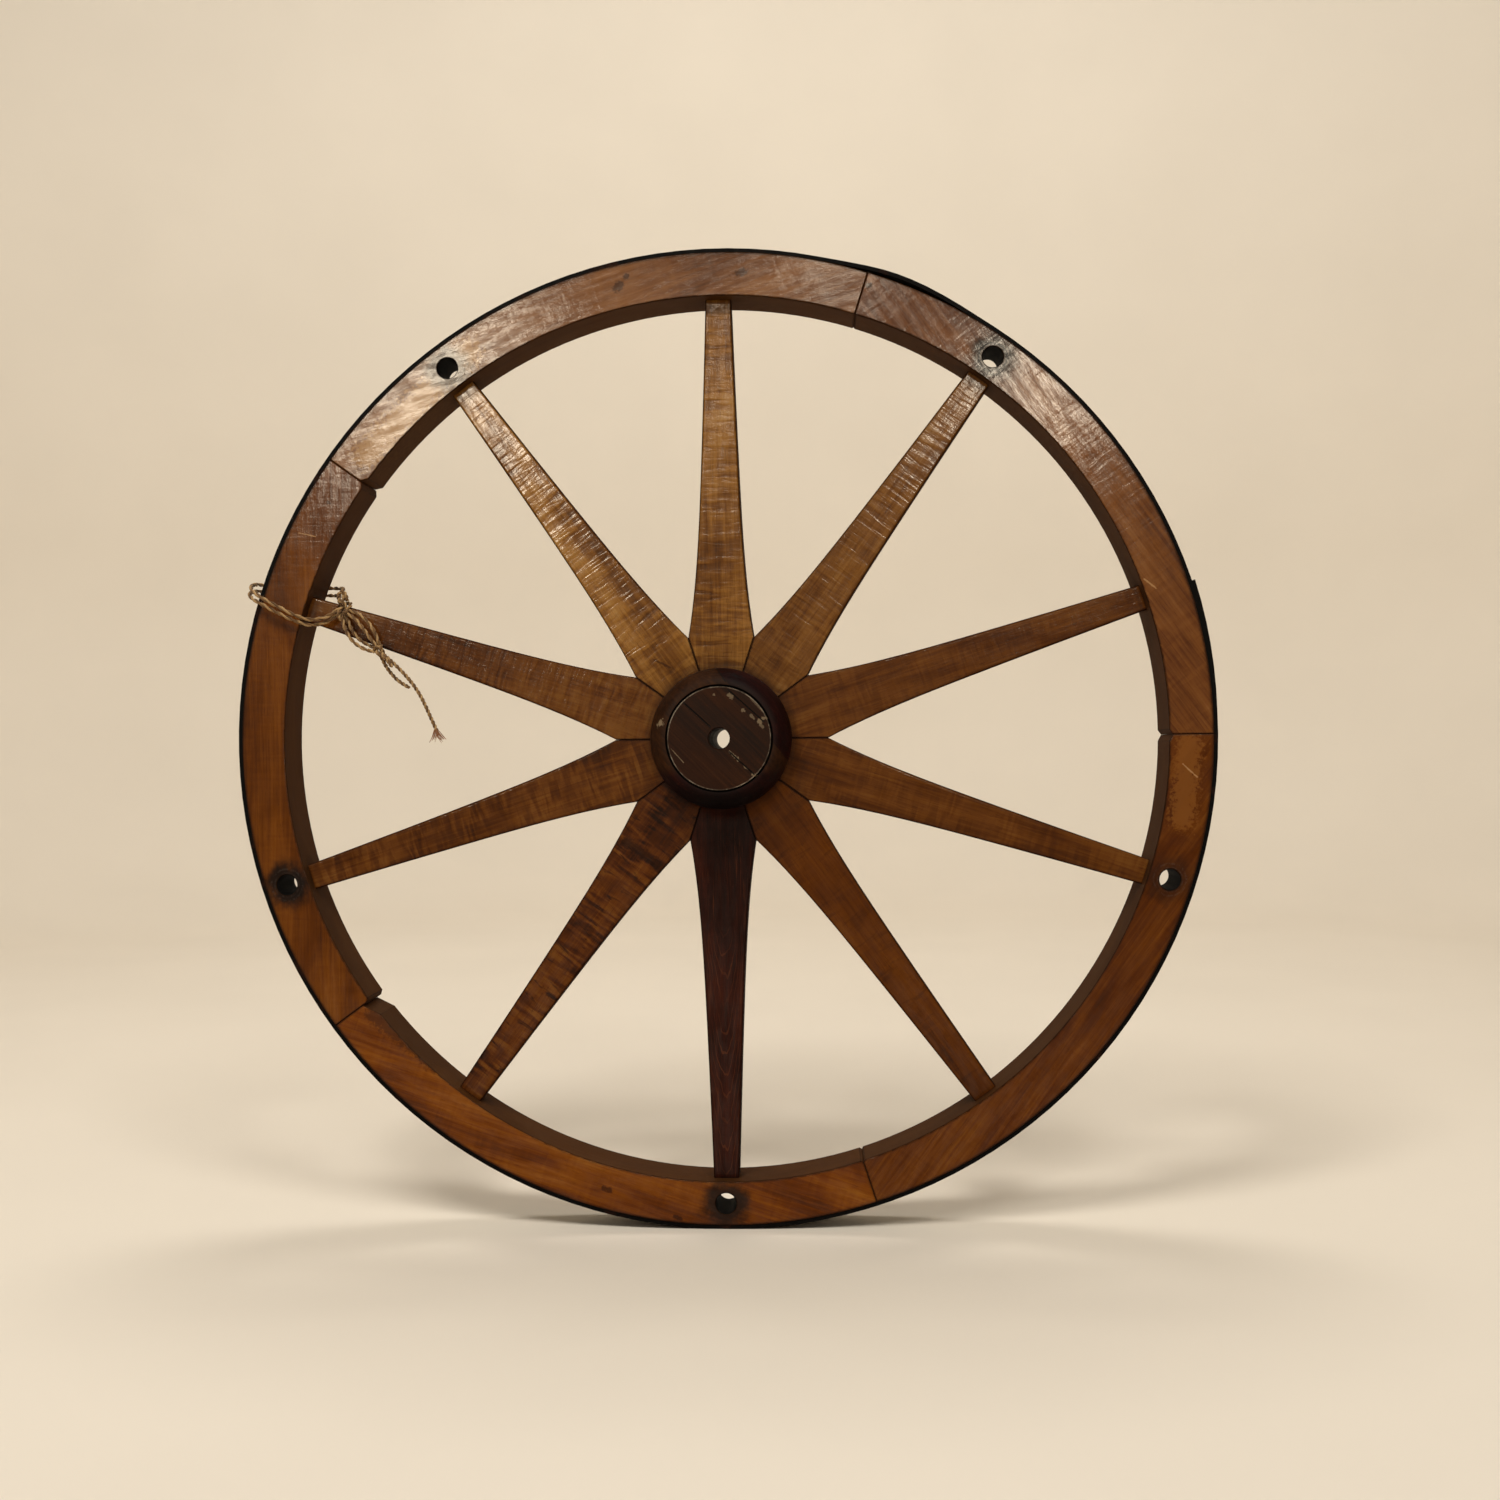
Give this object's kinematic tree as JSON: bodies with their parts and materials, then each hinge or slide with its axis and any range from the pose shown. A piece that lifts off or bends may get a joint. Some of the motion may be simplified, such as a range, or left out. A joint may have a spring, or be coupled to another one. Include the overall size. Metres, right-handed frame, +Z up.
{
  "type": "spoked wooden wheel",
  "caption": "Varnished wooden wheel of mitred spokes around a turned hub, in a felloe rim with a thin iron hoop and a twine tie.",
  "frame": {"origin": "centre of the axle bore, half-way through the rim's depth", "axes": "+Z up, +Y along the axle from the front to the rear, +X to the right seen from the front"},
  "size_m": [0.7619, 0.104, 0.7619],
  "materials": {
    "rim_wood": "gloss varnish",
    "spoke_wood": "gloss varnish",
    "hub_wood": "dark satin stain",
    "dowel_wood": "bare",
    "black_iron": "matt black",
    "nail_iron": "dull",
    "jute": "rough"
  },
  "bodies": {
    "root": {"felloe_1": "rim_wood", "felloe_2": "rim_wood", "felloe_3": "rim_wood", "felloe_4": "rim_wood", "felloe_5": "rim_wood", "spoke_1": "spoke_wood", "spoke_2": "spoke_wood", "spoke_3": "spoke_wood", "spoke_4": "spoke_wood", "spoke_5": "spoke_wood", "spoke_6": "spoke_wood", "spoke_7": "spoke_wood", "spoke_8": "spoke_wood", "spoke_9": "spoke_wood", "spoke_10": "spoke_wood", "iron_hoop": "black_iron", "hoop_nails": "nail_iron", "felloe_dowels": "dowel_wood", "foot_dowels": "dowel_wood", "hub_front_boss": "hub_wood", "hub_rear_boss": "hub_wood", "twine_loop_lower": "jute", "twine_loop_upper": "jute", "twine_knot": "jute", "twine_bow_left_outer": "jute", "twine_bow_left_inner": "jute", "twine_bow_right_outer": "jute", "twine_bow_right_inner": "jute", "twine_bow_knot": "jute", "twine_tail_long": "jute", "twine_tail_short": "jute"}
  },
  "joints": []
}
